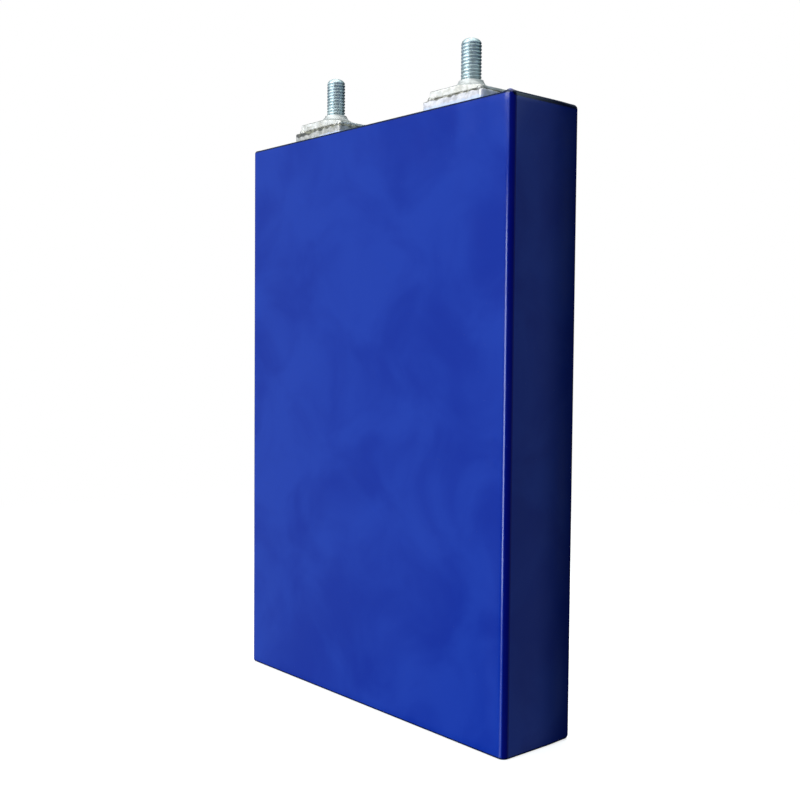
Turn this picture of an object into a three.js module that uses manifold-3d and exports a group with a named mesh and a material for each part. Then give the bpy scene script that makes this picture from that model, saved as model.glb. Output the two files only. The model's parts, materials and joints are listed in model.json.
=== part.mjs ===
// Prismatic lithium battery cell with two M6 terminal studs, in millimetres.
// An aluminium can holds two flat wound rolls and is closed by a welded lid. Each terminal is a
// riveted pole under a terminal block, with a stud base welded on top, and a shrink film sleeves
// the can. X runs along the width, Y through the thickness, Z up from the middle of the base.

import * as THREE from "three";
import { mergeVertices } from "three/addons/utils/BufferGeometryUtils.js";
import Module from "manifold-3d";

const wasm = await Module();
wasm.setup();

// ---- Driving dimensions ----------------------------------------------------------------------

// The cell over its film, without the terminals
const CELL_WIDTH = 124;
const CELL_THICKNESS = 28;
const CELL_HEIGHT = 180;
const STUD_PITCH = 64.8;

// Clearances: between flat faces that rest on each other, and round a pin in its hole
const CONTACT_GAP = 0.05;
const ROUND_GAP = 0.1;

// Shrink film sleeve, with lips folded over the top and the base that stop short of the insulators
const FILM_WALL = 0.2;
const FILM_LIP_MARGIN = 0.7;
const FILM_CORNER_RADIUS = 2.2;
const FILM_EDGE_RADIUS = 0.8;

// Insulating sheets under the lips
const TOP_SHEET_THICKNESS = 0.8;
const BOTTOM_SHEET_THICKNESS = 0.4;
const SHEET_INSET = 0.9;
const SHEET_CORNER_RADIUS = 4;
const SHEET_CUT_MARGIN = 0.4;

// Deep-drawn can
const CAN_WALL = 0.8;
const CAN_FLOOR = 1.2;
const CAN_EDGE_RADIUS = 0.3;

// Lid, welded into a step round the can's mouth
const LID_THICKNESS = 1.5;
const LID_STEP = 0.4;

// Pressure vent in the middle of the lid: an opening, and a wider seat for the scored disc
const VENT_LENGTH = 14;
const VENT_WIDTH = 8;
const VENT_SEAT_MARGIN = 1.5;
const VENT_DISC_THICKNESS = 0.5;
const VENT_SCORE_WIDTH = 0.5;
const VENT_SCORE_DEPTH = 0.3;
const VENT_COVER_THICKNESS = 0.15;
const VENT_COVER_MARGIN = 2.25;

// Electrolyte filling port, between the vent and a terminal
const FILL_HOLE_RADIUS = 1.2;
const FILL_SEAT_RADIUS = 2.6;
const FILL_CAP_THICKNESS = 0.5;
const FILL_SHEET_HOLE_RADIUS = 3;
const FILL_TERMINAL_WEB = 1.6;

// Terminal block and the insulator that it stands on
const BLOCK_LENGTH = 24.8;
const BLOCK_WIDTH = 16;
const BLOCK_HEIGHT = 3.3;
const BLOCK_CORNER_RADIUS = 0.8;
const BLOCK_CHAMFER = 0.3;
const INSULATOR_MARGIN = 0.8;
const INSULATOR_THICKNESS = 2;

// Riveted pole, from the inner flange up to the head sunk in the block. The head is a little wider
// than the stud's, so that the foot of the stud base stands on its rim.
const POLE_RADIUS = 3.5;
const POLE_FLANGE_RADIUS = 6.5;
const POLE_FLANGE_THICKNESS = 1.5;
const POLE_HEAD_OVERHANG = 0.2;
const POLE_HEAD_HEIGHT = 1.2;

// Seal ring round the pole: a sleeve in the lid over a flange below it
const SEAL_SLEEVE_WALL = 0.8;
const SEAL_FLANGE_RADIUS = 6.2;
const SEAL_FLANGE_THICKNESS = 1.4;

// Plates under the lid
const INNER_INSULATOR_LENGTH = 30;
const INNER_INSULATOR_WIDTH = 19;
const CONNECTOR_LENGTH = 34;
const CONNECTOR_WIDTH = 17;
const CONNECTOR_THICKNESS = 1.2;
const CONNECTOR_HOLE_RADIUS = 2;
const PLATE_CORNER_RADIUS = 1.5;

// Stud base, welded on the block: a foot, a plate that thins towards its +X end, and a flared boss
const BASE_LENGTH = 21.6;
const BASE_WIDTH = 13.5;
const BASE_THICKNESS = 2.4;
const BASE_CORNER_RADIUS = 0.9;
const BASE_CHAMFER = 0.5;
const BASE_FOOT_INSET = 0.8;
const BASE_FOOT_HEIGHT = 0.55;
const BASE_SLOPE_START = 1;
const BASE_SLOPE_DROP = 1.5;
const BOSS_HEIGHT = 2.2;
const BOSS_FLARE = 2.5;
const BOSS_CURVE = 0.7;
const BOSS_TOP_WALL = 0.55;

// M6 x 1 stud: a head held under the stud base, a shank through it and a thread above
const STUD_DIAMETER = 6;
const THREAD_PITCH = 1;
const THREAD_DEPTH = 0.613;
const THREAD_CREST = 0.125;
const STUD_PROTRUSION = 12.3;
const STUD_HEAD_MARGIN = 1.8;
const STUD_HEAD_THICKNESS = 1.4;
const STUD_TIP_CHAMFER = 0.9;
const THREAD_START_DEPTH = 1;
const THREAD_RUNOUT = 0.4;
const THREAD_SINK = 0.1;

// Wound rolls, the bag round them and the tray below
const TRAY_THICKNESS = 1.5;
const TRAY_SLOT_LENGTH = 14;
const TRAY_SLOT_WIDTH = 4;
const TRAY_SLOT_PITCH = 22;
const TRAY_SLOT_COUNT = 5;
const BAG_WALL = 0.2;
const BAG_TOP_MARGIN = 4;
const HEADSPACE = 14.2;
const ROLL_SIDE_GAP = 0.2;
const ROLL_END_GAP = 2.7;
const ROLL_SLIT_WIDTH = 0.5;

// Foil tabs, from each roll to its connector
const TAB_LENGTH = 22;
const TAB_THICKNESS = 0.8;
const TAB_BEND_RADIUS = 0.8;
const TAB_MIDDLE_GAP = 1;

// Facets on a quarter of a corner, on a full turn, and on a turn of thread
const CORNER_FACETS = 6;
const EDGE_FACETS = 3;
const TURN_FACETS = 24;
const THREAD_FACETS = 12;
// How far a cutting solid runs past the face that it cuts
const CUT_PAST = 1;

// ---- Places worked out from the dimensions ------------------------------------------------------

const insulatorLength = BLOCK_LENGTH + 2 * INSULATOR_MARGIN;
const insulatorWidth = BLOCK_WIDTH + 2 * INSULATOR_MARGIN;
const filmLip = (CELL_THICKNESS - insulatorWidth) / 2 - FILM_LIP_MARGIN;
const filmInside = { width: CELL_WIDTH - 2 * FILM_WALL, depth: CELL_THICKNESS - 2 * FILM_WALL };
const can = {
  width: filmInside.width - 2 * CONTACT_GAP,
  depth: filmInside.depth - 2 * CONTACT_GAP,
  radius: FILM_CORNER_RADIUS - FILM_WALL - CONTACT_GAP,
};
const cavity = {
  width: can.width - 2 * CAN_WALL,
  depth: can.depth - 2 * CAN_WALL,
  radius: can.radius - CAN_WALL,
};
const bag = {
  width: cavity.width - 2 * CONTACT_GAP,
  depth: cavity.depth - 2 * CONTACT_GAP,
  radius: cavity.radius - CONTACT_GAP,
};
const rollDepth = (bag.depth - 2 * BAG_WALL - 3 * ROLL_SIDE_GAP) / 2;
const rollWidth = bag.width - 2 * BAG_WALL - 2 * ROLL_END_GAP;
const rollCentreY = (rollDepth + ROLL_SIDE_GAP) / 2;

// Heights of the faces that each piece starts from, upwards through the base
const sheetBottom = FILM_WALL + CONTACT_GAP;
const canBottom = sheetBottom + BOTTOM_SHEET_THICKNESS + CONTACT_GAP;
const trayBottom = canBottom + CAN_FLOOR + CONTACT_GAP;
const bagBottom = trayBottom + TRAY_THICKNESS + CONTACT_GAP;
const rollBottom = bagBottom + BAG_WALL + CONTACT_GAP;

// Downwards from the top
const topSheetBottom = CELL_HEIGHT - FILM_WALL - CONTACT_GAP - TOP_SHEET_THICKNESS;
const canTop = topSheetBottom - CONTACT_GAP;
const lidBottom = canTop - LID_THICKNESS;
const innerInsulatorBottom = lidBottom - CONTACT_GAP - SEAL_FLANGE_THICKNESS;
const poleBottom = innerInsulatorBottom - CONTACT_GAP - POLE_FLANGE_THICKNESS;
const connectorBottom = poleBottom - CONTACT_GAP - CONNECTOR_THICKNESS;
const rollTop = lidBottom - HEADSPACE;

// Upwards through a terminal
const insulatorBottom = canTop + CONTACT_GAP;
const blockBottom = insulatorBottom + INSULATOR_THICKNESS + CONTACT_GAP;
const blockTop = blockBottom + BLOCK_HEIGHT;
const baseBottom = blockTop + CONTACT_GAP;
const bossTop = baseBottom + BASE_FOOT_HEIGHT + BASE_THICKNESS + BOSS_HEIGHT;

const studRadius = STUD_DIAMETER / 2;
const studHeadRadius = studRadius + STUD_HEAD_MARGIN;
const poleHeadRadius = studHeadRadius + POLE_HEAD_OVERHANG;
const terminalEdge = STUD_PITCH / 2 - insulatorLength / 2 - SHEET_CUT_MARGIN;
const fillPortX = terminalEdge - FILL_TERMINAL_WEB - FILL_SHEET_HOLE_RADIUS;

// ---- Finishes -----------------------------------------------------------------------------------

const FINISHES = {
  film: { color: 0x2641a8, roughness: 0.22, metalness: 0 },
  sheet: { color: 0x2f4fae, roughness: 0.5, metalness: 0 },
  clearFilm: { color: 0xd9e2ea, roughness: 0.2, metalness: 0 },
  aluminium: { color: 0xc9cbcd, roughness: 0.38, metalness: 1 },
  copper: { color: 0xc07a52, roughness: 0.35, metalness: 1 },
  zincSteel: { color: 0x9fb4bb, roughness: 0.28, metalness: 1 },
  insulator: { color: 0x26282b, roughness: 0.55, metalness: 0 },
  seal: { color: 0xdedcd2, roughness: 0.6, metalness: 0 },
  bag: { color: 0xa9c4d6, roughness: 0.4, metalness: 0 },
  roll: { color: 0x3a3b3d, roughness: 0.8, metalness: 0 },
};

// ---- Solids -------------------------------------------------------------------------------------

function solidFrom(geometry) {
  const bare = geometry.index ? geometry.toNonIndexed() : geometry;
  bare.deleteAttribute("normal");
  bare.deleteAttribute("uv");
  const merged = mergeVertices(bare);
  const mesh = new wasm.Mesh({
    numProp: 3,
    vertProperties: merged.attributes.position.array,
    triVerts: new Uint32Array(merged.index.array),
  });
  return new wasm.Manifold(mesh);
}

function geometryFrom(solid) {
  const mesh = solid.getMesh();
  const indexed = new THREE.BufferGeometry();
  indexed.setAttribute("position", new THREE.BufferAttribute(mesh.vertProperties, 3));
  indexed.setIndex(new THREE.BufferAttribute(mesh.triVerts, 1));
  const geometry = indexed.toNonIndexed();
  geometry.computeVertexNormals();
  return geometry;
}

function roundedRectangle(width, depth, radius) {
  const x = width / 2 - radius;
  const y = depth / 2 - radius;
  const quarter = Math.PI / 2;
  const shape = new THREE.Shape();
  shape.absarc(x, y, radius, 0, quarter);
  shape.absarc(-x, y, radius, quarter, 2 * quarter);
  shape.absarc(-x, -y, radius, 2 * quarter, 3 * quarter);
  shape.absarc(x, -y, radius, 3 * quarter, 4 * quarter);
  shape.closePath();
  return shape;
}

function obround(length, width) {
  const x = (length - width) / 2;
  const shape = new THREE.Shape();
  shape.absarc(x, 0, width / 2, -Math.PI / 2, Math.PI / 2);
  shape.absarc(-x, 0, width / 2, Math.PI / 2, (3 * Math.PI) / 2);
  shape.closePath();
  return shape;
}

// A shape raised from one height to another. An arc of the shape gets twice curveSegments facets.
function prism(shape, bottom, top, facets = CORNER_FACETS) {
  const geometry = new THREE.ExtrudeGeometry(shape, {
    depth: top - bottom,
    bevelEnabled: false,
    curveSegments: facets / 2,
  });
  geometry.translate(0, 0, bottom);
  return solidFrom(geometry);
}

// A block with rounded upright corners, whose top and bottom edges are rounded by edge
// (or chamfered, with one facet).
function roundedBlock(width, depth, radius, bottom, top, edge, edgeFacets = EDGE_FACETS) {
  const shape = roundedRectangle(width - 2 * edge, depth - 2 * edge, Math.max(radius - edge, edge / 4));
  const geometry = new THREE.ExtrudeGeometry(shape, {
    depth: top - bottom - 2 * edge,
    bevelThickness: edge,
    bevelSize: edge,
    bevelSegments: edgeFacets,
    curveSegments: CORNER_FACETS / 2,
  });
  geometry.translate(0, 0, bottom + edge);
  return solidFrom(geometry);
}

// A solid turned about Z. The outline is a list of [radius, height], upwards along the outside.
function turned(outline, facets = TURN_FACETS) {
  const points = outline.map(([radius, height]) => new THREE.Vector2(radius, height));
  const geometry = new THREE.LatheGeometry(points, facets);
  geometry.rotateX(Math.PI / 2);
  return solidFrom(geometry);
}

function cylinder(radius, bottom, top) {
  return turned([
    [0, bottom],
    [radius, bottom],
    [radius, top],
    [0, top],
  ]);
}

// ---- The sleeve and its sheets ------------------------------------------------------------------

function filmSleeve() {
  const outside = roundedBlock(
    CELL_WIDTH, CELL_THICKNESS, FILM_CORNER_RADIUS, 0, CELL_HEIGHT, FILM_EDGE_RADIUS);
  const inside = roundedBlock(
    filmInside.width, filmInside.depth, FILM_CORNER_RADIUS - FILM_WALL,
    FILM_WALL, CELL_HEIGHT - FILM_WALL, FILM_EDGE_RADIUS - FILM_WALL);
  const mouthShape = roundedRectangle(
    CELL_WIDTH - 2 * filmLip, CELL_THICKNESS - 2 * filmLip, FILM_CORNER_RADIUS);
  const mouths = prism(mouthShape, -CUT_PAST, CELL_HEIGHT + CUT_PAST);
  return outside.subtract(inside).subtract(mouths);
}

function sheet(thickness) {
  const shape = roundedRectangle(
    filmInside.width - 2 * SHEET_INSET, filmInside.depth - 2 * SHEET_INSET, SHEET_CORNER_RADIUS);
  return prism(shape, 0, thickness);
}

function topSheet() {
  const past = TOP_SHEET_THICKNESS + CUT_PAST;
  const terminalShape = roundedRectangle(
    insulatorLength + 2 * SHEET_CUT_MARGIN, insulatorWidth + 2 * SHEET_CUT_MARGIN,
    BLOCK_CORNER_RADIUS + SHEET_CUT_MARGIN);
  const terminalCut = prism(terminalShape, -CUT_PAST, past);
  const ventCut = ventPrism(VENT_COVER_MARGIN + SHEET_CUT_MARGIN, -CUT_PAST, past);
  const fillCut = cylinder(FILL_SHEET_HOLE_RADIUS, -CUT_PAST, past);
  return sheet(TOP_SHEET_THICKNESS)
    .subtract(terminalCut.translate([STUD_PITCH / 2, 0, 0]))
    .subtract(terminalCut.translate([-STUD_PITCH / 2, 0, 0]))
    .subtract(ventCut)
    .subtract(fillCut.translate([fillPortX, 0, 0]));
}

// ---- The can and its lid --------------------------------------------------------------------------

function canShell() {
  const height = canTop - canBottom;
  const outside = roundedBlock(can.width, can.depth, can.radius, 0, height, CAN_EDGE_RADIUS);
  const cavityShape = roundedRectangle(cavity.width, cavity.depth, cavity.radius);
  const inside = prism(cavityShape, CAN_FLOOR, height + CUT_PAST);
  const stepShape = roundedRectangle(
    can.width - 2 * LID_STEP, can.depth - 2 * LID_STEP, can.radius - LID_STEP);
  const stepFloor = height - LID_THICKNESS - CONTACT_GAP;
  const step = prism(stepShape, stepFloor, height + CUT_PAST);
  return outside.subtract(inside).subtract(step);
}

function ventPrism(margin, bottom, top) {
  return prism(obround(VENT_LENGTH + 2 * margin, VENT_WIDTH + 2 * margin), bottom, top, 2 * CORNER_FACETS);
}

function lid() {
  const inset = LID_STEP + CONTACT_GAP;
  const shape = roundedRectangle(can.width - 2 * inset, can.depth - 2 * inset, can.radius - inset);
  const past = LID_THICKNESS + CUT_PAST;
  const poleHole = cylinder(sealSleeveRadius() + ROUND_GAP, -CUT_PAST, past);
  const ventHole = ventPrism(0, -CUT_PAST, past);
  const ventSeat = ventPrism(VENT_SEAT_MARGIN, LID_THICKNESS - VENT_DISC_THICKNESS - CONTACT_GAP, past);
  const fillHole = cylinder(FILL_HOLE_RADIUS, -CUT_PAST, past);
  const fillSeat = cylinder(FILL_SEAT_RADIUS, LID_THICKNESS - FILL_CAP_THICKNESS - CONTACT_GAP, past);
  return prism(shape, 0, LID_THICKNESS)
    .subtract(poleHole.translate([STUD_PITCH / 2, 0, 0]))
    .subtract(poleHole.translate([-STUD_PITCH / 2, 0, 0]))
    .subtract(ventHole)
    .subtract(ventSeat)
    .subtract(fillHole.add(fillSeat).translate([fillPortX, 0, 0]));
}

// The vent's disc, with a score line that tears when the pressure rises
function ventDisc() {
  const disc = ventPrism(VENT_SEAT_MARGIN - ROUND_GAP, 0, VENT_DISC_THICKNESS);
  const scoreFloor = VENT_DISC_THICKNESS - VENT_SCORE_DEPTH;
  const scoreTop = VENT_DISC_THICKNESS + CUT_PAST;
  const scoreOutside = ventPrism(-VENT_SCORE_WIDTH, scoreFloor, scoreTop);
  const scoreInside = ventPrism(-2 * VENT_SCORE_WIDTH, scoreFloor - CUT_PAST, scoreTop + CUT_PAST);
  return disc.subtract(scoreOutside.subtract(scoreInside));
}

function ventCover() {
  return ventPrism(VENT_COVER_MARGIN, 0, VENT_COVER_THICKNESS);
}

// A tapered plug in the filling hole, flush with the underside of the cap
function fillPin() {
  const radius = FILL_HOLE_RADIUS - ROUND_GAP;
  const height = LID_THICKNESS - FILL_CAP_THICKNESS - 2 * CONTACT_GAP;
  return turned([
    [0, 0],
    [radius - ROUND_GAP, 0],
    [radius, height],
    [0, height],
  ]);
}

function fillCap() {
  return cylinder(FILL_SEAT_RADIUS - ROUND_GAP, 0, FILL_CAP_THICKNESS);
}

// ---- The rolls, their bag and the tray -------------------------------------------------------------

function tray() {
  const shape = roundedRectangle(bag.width, bag.depth, bag.radius);
  const slot = prism(obround(TRAY_SLOT_LENGTH, TRAY_SLOT_WIDTH), -CUT_PAST, TRAY_THICKNESS + CUT_PAST);
  let plate = prism(shape, 0, TRAY_THICKNESS);
  for (let i = 0; i < TRAY_SLOT_COUNT; i++) {
    const x = (i - (TRAY_SLOT_COUNT - 1) / 2) * TRAY_SLOT_PITCH;
    plate = plate.subtract(slot.translate([x, 0, 0]));
  }
  return plate;
}

function coreBag() {
  const height = rollTop + BAG_TOP_MARGIN - bagBottom;
  const outside = prism(roundedRectangle(bag.width, bag.depth, bag.radius), 0, height);
  const insideShape = roundedRectangle(
    bag.width - 2 * BAG_WALL, bag.depth - 2 * BAG_WALL, bag.radius - BAG_WALL);
  return outside.subtract(prism(insideShape, BAG_WALL, height + CUT_PAST));
}

// A flat roll of electrode and separator, open through its middle where the winding core was drawn out
function jellyRoll() {
  const shape = obround(rollWidth, rollDepth);
  shape.holes.push(obround(rollWidth - rollDepth, ROLL_SLIT_WIDTH));
  return prism(shape, 0, rollTop - rollBottom, CORNER_FACETS * 2);
}

// A stack of foil that rises from a roll and turns inwards under the connector
function foilTab() {
  const bottom = rollTop + CONTACT_GAP;
  const height = connectorBottom - CONTACT_GAP - bottom;
  const outerRadius = TAB_BEND_RADIUS + TAB_THICKNESS;
  const outerX = -rollCentreY - TAB_THICKNESS / 2;
  const bendX = outerX + outerRadius;
  const bendZ = height - outerRadius;
  const shape = new THREE.Shape();
  shape.moveTo(outerX, 0);
  shape.lineTo(outerX + TAB_THICKNESS, 0);
  shape.absarc(bendX, bendZ, TAB_BEND_RADIUS, Math.PI, Math.PI / 2, true);
  shape.lineTo(-TAB_MIDDLE_GAP, height - TAB_THICKNESS);
  shape.lineTo(-TAB_MIDDLE_GAP, height);
  shape.absarc(bendX, bendZ, outerRadius, Math.PI / 2, Math.PI);
  shape.closePath();
  const geometry = new THREE.ExtrudeGeometry(shape, {
    depth: TAB_LENGTH,
    bevelEnabled: false,
    curveSegments: EDGE_FACETS,
  });
  geometry.translate(0, 0, -TAB_LENGTH / 2);
  geometry.rotateX(Math.PI / 2);
  geometry.rotateZ(Math.PI / 2);
  return solidFrom(geometry);
}

// ---- One terminal ------------------------------------------------------------------------------------

function sealSleeveRadius() {
  return POLE_RADIUS + ROUND_GAP + SEAL_SLEEVE_WALL;
}

function outerInsulator() {
  const shape = roundedRectangle(insulatorLength, insulatorWidth, BLOCK_CORNER_RADIUS);
  const hole = cylinder(POLE_RADIUS + ROUND_GAP, -CUT_PAST, INSULATOR_THICKNESS + CUT_PAST);
  return prism(shape, 0, INSULATOR_THICKNESS).subtract(hole);
}

function terminalBlock() {
  const blank = roundedBlock(
    BLOCK_LENGTH, BLOCK_WIDTH, BLOCK_CORNER_RADIUS, 0, BLOCK_HEIGHT, BLOCK_CHAMFER, 1);
  const hole = cylinder(POLE_RADIUS + ROUND_GAP, -CUT_PAST, BLOCK_HEIGHT + CUT_PAST);
  const headFloor = BLOCK_HEIGHT - POLE_HEAD_HEIGHT - 2 * CONTACT_GAP;
  const headSeat = cylinder(poleHeadRadius + ROUND_GAP, headFloor, BLOCK_HEIGHT + CUT_PAST);
  return blank.subtract(hole).subtract(headSeat);
}

function pole() {
  const headTop = blockTop - CONTACT_GAP - poleBottom;
  const headBottom = headTop - POLE_HEAD_HEIGHT;
  return turned([
    [0, 0],
    [POLE_FLANGE_RADIUS, 0],
    [POLE_FLANGE_RADIUS, POLE_FLANGE_THICKNESS],
    [POLE_RADIUS, POLE_FLANGE_THICKNESS],
    [POLE_RADIUS, headBottom],
    [poleHeadRadius, headBottom],
    [poleHeadRadius, headTop],
    [0, headTop],
  ]);
}

function sealRing() {
  const inner = POLE_RADIUS + ROUND_GAP;
  const outer = sealSleeveRadius();
  const height = canTop - innerInsulatorBottom;
  return turned([
    [inner, 0],
    [SEAL_FLANGE_RADIUS, 0],
    [SEAL_FLANGE_RADIUS, SEAL_FLANGE_THICKNESS],
    [outer, SEAL_FLANGE_THICKNESS],
    [outer, height],
    [inner, height],
    [inner, 0],
  ]);
}

function innerInsulator() {
  const shape = roundedRectangle(INNER_INSULATOR_LENGTH, INNER_INSULATOR_WIDTH, PLATE_CORNER_RADIUS);
  const hole = cylinder(SEAL_FLANGE_RADIUS + ROUND_GAP, -CUT_PAST, SEAL_FLANGE_THICKNESS + CUT_PAST);
  return prism(shape, 0, SEAL_FLANGE_THICKNESS).subtract(hole);
}

function connector() {
  const shape = roundedRectangle(CONNECTOR_LENGTH, CONNECTOR_WIDTH, PLATE_CORNER_RADIUS);
  const hole = cylinder(CONNECTOR_HOLE_RADIUS, -CUT_PAST, CONNECTOR_THICKNESS + CUT_PAST);
  return prism(shape, 0, CONNECTOR_THICKNESS).subtract(hole);
}

// The flared boss grips the shank. Its side is a hollow curve (BOSS_CURVE 1 would be a quarter of an
// ellipse), and a bevelled skirt carries it down to the plate where the plate is thin.
function studBase() {
  const plateTop = BASE_FOOT_HEIGHT + BASE_THICKNESS;
  const bossHeight = plateTop + BOSS_HEIGHT;
  const topRadius = studRadius + ROUND_GAP + BOSS_TOP_WALL;
  const footShape = roundedRectangle(
    BASE_LENGTH - 2 * BASE_FOOT_INSET, BASE_WIDTH - 2 * BASE_FOOT_INSET, BASE_CORNER_RADIUS);
  const foot = prism(footShape, 0, BASE_FOOT_HEIGHT + BASE_CHAMFER);
  const fullPlate = roundedBlock(
    BASE_LENGTH, BASE_WIDTH, BASE_CORNER_RADIUS, BASE_FOOT_HEIGHT, plateTop, BASE_CHAMFER, 1);
  const slope = BASE_SLOPE_DROP / (BASE_LENGTH / 2 - BASE_SLOPE_START);
  const steepness = Math.hypot(slope, 1);
  const plate = fullPlate.trimByPlane(
    [-slope / steepness, 0, -1 / steepness], -(plateTop + slope * BASE_SLOPE_START) / steepness);
  const skirtRadius = topRadius + BOSS_FLARE + BASE_CHAMFER;
  const outline = [
    [0, BASE_FOOT_HEIGHT],
    [skirtRadius, BASE_FOOT_HEIGHT],
    [skirtRadius, plateTop - BASE_CHAMFER],
  ];
  for (let i = 0; i <= CORNER_FACETS; i++) {
    const angle = (i / CORNER_FACETS) * (Math.PI / 2);
    const radius = topRadius + BOSS_FLARE * (1 - Math.sin(angle)) ** BOSS_CURVE;
    outline.push([radius, bossHeight - BOSS_HEIGHT * Math.cos(angle)]);
  }
  outline.push([0, bossHeight]);
  const bore = cylinder(studRadius + ROUND_GAP, -CUT_PAST, bossHeight + CUT_PAST);
  const headSeat = cylinder(
    studHeadRadius + ROUND_GAP, -CUT_PAST, STUD_HEAD_THICKNESS + 2 * CONTACT_GAP);
  return foot.add(plate).add(turned(outline)).subtract(bore).subtract(headSeat);
}

// The centre line of the thread's ridge, with frames that point straight out from the axis
class ThreadHelix extends THREE.Curve {
  constructor(radius, pitch, turns) {
    super();
    this.radius = radius;
    this.pitch = pitch;
    this.turns = turns;
  }

  getPoint(t, target = new THREE.Vector3()) {
    const angle = 2 * Math.PI * this.turns * t;
    const height = this.pitch * this.turns * t;
    return target.set(this.radius * Math.cos(angle), this.radius * Math.sin(angle), height);
  }

  computeFrenetFrames(segments) {
    const tangents = [];
    const normals = [];
    const binormals = [];
    for (let i = 0; i <= segments; i++) {
      const angle = (2 * Math.PI * this.turns * i) / segments;
      tangents.push(new THREE.Vector3(-Math.sin(angle), Math.cos(angle), 0));
      normals.push(new THREE.Vector3(Math.cos(angle), Math.sin(angle), 0));
      binormals.push(new THREE.Vector3(0, 0, -1));
    }
    return { tangents, normals, binormals };
  }
}

// The thread's ridge with 60 degree flanks, sunk a little into the core, from z = 0 upwards
function threadRidge(rootRadius, height) {
  const crest = THREAD_CREST / 2;
  const root = crest + (THREAD_DEPTH + THREAD_SINK) * Math.tan(Math.PI / 6);
  const turns = height / THREAD_PITCH;
  const shape = new THREE.Shape();
  shape.moveTo(-THREAD_SINK, -root);
  shape.lineTo(THREAD_DEPTH, -crest);
  shape.lineTo(THREAD_DEPTH, crest);
  shape.lineTo(-THREAD_SINK, root);
  shape.closePath();
  const geometry = new THREE.ExtrudeGeometry(shape, {
    steps: Math.round(turns * THREAD_FACETS),
    extrudePath: new ThreadHelix(rootRadius, THREAD_PITCH, turns),
  });
  return solidFrom(geometry);
}

function stud() {
  const rootRadius = studRadius - THREAD_DEPTH;
  const headTop = STUD_HEAD_THICKNESS;
  const tip = bossTop + STUD_PROTRUSION - baseBottom - CONTACT_GAP;
  const shankTop = bossTop - THREAD_START_DEPTH - baseBottom;
  const core = turned([
    [0, 0],
    [studHeadRadius, 0],
    [studHeadRadius, headTop],
    [studRadius, headTop],
    [studRadius, shankTop],
    [rootRadius, shankTop + THREAD_RUNOUT],
    [rootRadius, tip - STUD_TIP_CHAMFER / 3],
    [rootRadius - STUD_TIP_CHAMFER / 3, tip],
    [0, tip],
  ], THREAD_FACETS);
  const envelope = turned([
    [0, headTop],
    [studRadius + THREAD_CREST, headTop],
    [studRadius + THREAD_CREST, tip - STUD_TIP_CHAMFER - THREAD_CREST],
    [studRadius - STUD_TIP_CHAMFER, tip],
    [0, tip],
  ]);
  const ridge = threadRidge(rootRadius, tip - shankTop + THREAD_RUNOUT);
  return core.add(ridge.translate([0, 0, shankTop - THREAD_RUNOUT]).intersect(envelope));
}

// ---- Assembly ------------------------------------------------------------------------------------------

function piece(name, solid, finish, bottom = 0) {
  const mesh = new THREE.Mesh(geometryFrom(solid), new THREE.MeshStandardMaterial(finish));
  mesh.name = name;
  mesh.position.z = bottom;
  return mesh;
}

function terminal(polarity, conductor) {
  const group = new THREE.Group();
  const tabBottom = rollTop + CONTACT_GAP;
  const backTab = piece(`${polarity}_tab_back`, foilTab(), conductor, tabBottom);
  backTab.rotation.z = Math.PI;
  group.add(
    piece(`${polarity}_stud`, stud(), FINISHES.zincSteel, baseBottom + CONTACT_GAP),
    piece(`${polarity}_stud_base`, studBase(), FINISHES.aluminium, baseBottom),
    piece(`${polarity}_terminal_block`, terminalBlock(), FINISHES.aluminium, blockBottom),
    piece(`${polarity}_outer_insulator`, outerInsulator(), FINISHES.insulator, insulatorBottom),
    piece(`${polarity}_pole`, pole(), conductor, poleBottom),
    piece(`${polarity}_seal_ring`, sealRing(), FINISHES.seal, innerInsulatorBottom),
    piece(`${polarity}_inner_insulator`, innerInsulator(), FINISHES.insulator, innerInsulatorBottom),
    piece(`${polarity}_connector`, connector(), conductor, connectorBottom),
    piece(`${polarity}_tab_front`, foilTab(), conductor, tabBottom),
    backTab,
  );
  return group;
}

function enclosure() {
  const group = new THREE.Group();
  const cap = piece("fill_cap", fillCap(), FINISHES.aluminium, canTop - FILL_CAP_THICKNESS);
  const pin = piece("fill_seal_pin", fillPin(), FINISHES.seal, lidBottom);
  cap.position.x = fillPortX;
  pin.position.x = fillPortX;
  group.add(
    piece("wrap_film", filmSleeve(), FINISHES.film),
    piece("bottom_sheet", sheet(BOTTOM_SHEET_THICKNESS), FINISHES.sheet, sheetBottom),
    piece("top_sheet", topSheet(), FINISHES.sheet, topSheetBottom),
    piece("can", canShell(), FINISHES.aluminium, canBottom),
    piece("lid", lid(), FINISHES.aluminium, lidBottom),
    piece("vent_disc", ventDisc(), FINISHES.aluminium, canTop - VENT_DISC_THICKNESS),
    piece("vent_cover_film", ventCover(), FINISHES.clearFilm, canTop + CONTACT_GAP),
    cap,
    pin,
  );
  return group;
}

function core() {
  const group = new THREE.Group();
  const frontRoll = piece("jelly_roll_front", jellyRoll(), FINISHES.roll, rollBottom);
  const backRoll = piece("jelly_roll_back", jellyRoll(), FINISHES.roll, rollBottom);
  frontRoll.position.y = -rollCentreY;
  backRoll.position.y = rollCentreY;
  group.add(
    piece("bottom_tray", tray(), FINISHES.insulator, trayBottom),
    piece("core_bag", coreBag(), FINISHES.bag, bagBottom),
    frontRoll,
    backRoll,
  );
  return group;
}

const cell = new THREE.Group();
const positive = terminal("positive", FINISHES.aluminium);
const negative = terminal("negative", FINISHES.copper);
positive.position.x = STUD_PITCH / 2;
negative.position.x = -STUD_PITCH / 2;
cell.add(enclosure(), core(), positive, negative);

export default cell;
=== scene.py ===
"""Looks of a prismatic battery cell with two stud terminals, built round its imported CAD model.

Lengths are in metres. X runs along the cell's width, Y through its thickness, Z up from its base.
"""

import json
import math

import bpy
from mathutils import Matrix, Vector, noise


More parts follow.
